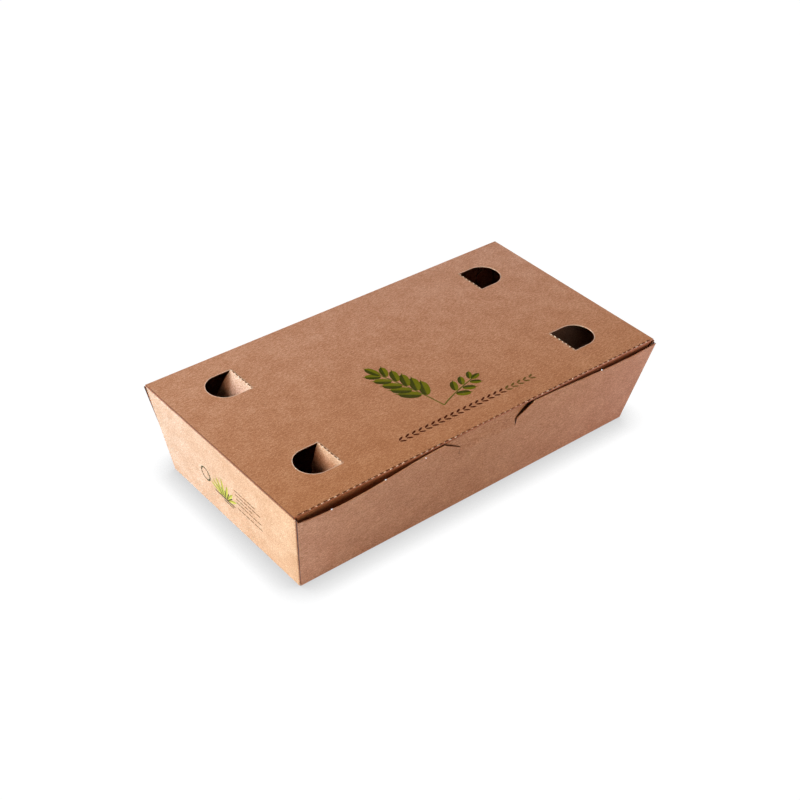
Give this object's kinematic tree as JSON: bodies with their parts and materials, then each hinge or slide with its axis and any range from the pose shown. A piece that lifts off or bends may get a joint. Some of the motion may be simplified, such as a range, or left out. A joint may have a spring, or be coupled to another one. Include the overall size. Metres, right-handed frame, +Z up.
{
  "type": "takeaway food box",
  "caption": "Tapered rectangular takeaway food box folded from a kraft board blank, with a hinged tuck-in lid, tongue lock and D-shaped vents that push in.",
  "frame": {"origin": "middle of the base's underside, where the box stands", "axes": "+X along the box's length, +Y towards the lid's hinge, +Z up; the front wall and its tongue face -Y"},
  "size_m": [0.2624, 0.1419, 0.058],
  "materials": {
    "kraft_board": "matte"
  },
  "bodies": {
    "tray": {"tray": "kraft_board"},
    "lid": {"lid": "kraft_board"},
    "vent_flap_left_back": {"vent_flap_left_back": "kraft_board"},
    "vent_flap_left_front": {"vent_flap_left_front": "kraft_board"},
    "vent_flap_right_back": {"vent_flap_right_back": "kraft_board"},
    "vent_flap_right_front": {"vent_flap_right_front": "kraft_board"}
  },
  "joints": [
    {"name": "lid_hinge", "type": "hinge", "parent": "tray", "child": "lid", "pos_m": [0, 0.0692, 0.0577], "axis": [-1, 0, 0], "range_deg": [0, 180]},
    {"name": "vent_hinge_left_back", "type": "hinge", "parent": "lid", "child": "vent_flap_left_back", "pos_m": [-0.0852, 0.0428, 0.0577], "axis": [0, -1, 0], "range_deg": [-52, 48]},
    {"name": "vent_hinge_left_front", "type": "hinge", "parent": "lid", "child": "vent_flap_left_front", "pos_m": [-0.0852, -0.038, 0.0577], "axis": [0, -1, 0], "range_deg": [-74, 26]},
    {"name": "vent_hinge_right_back", "type": "hinge", "parent": "lid", "child": "vent_flap_right_back", "pos_m": [0.0852, 0.0428, 0.0577], "axis": [0, 1, 0], "range_deg": [-68, 32]},
    {"name": "vent_hinge_right_front", "type": "hinge", "parent": "lid", "child": "vent_flap_right_front", "pos_m": [0.0852, -0.038, 0.0577], "axis": [0, 1, 0], "range_deg": [-72, 28]}
  ]
}
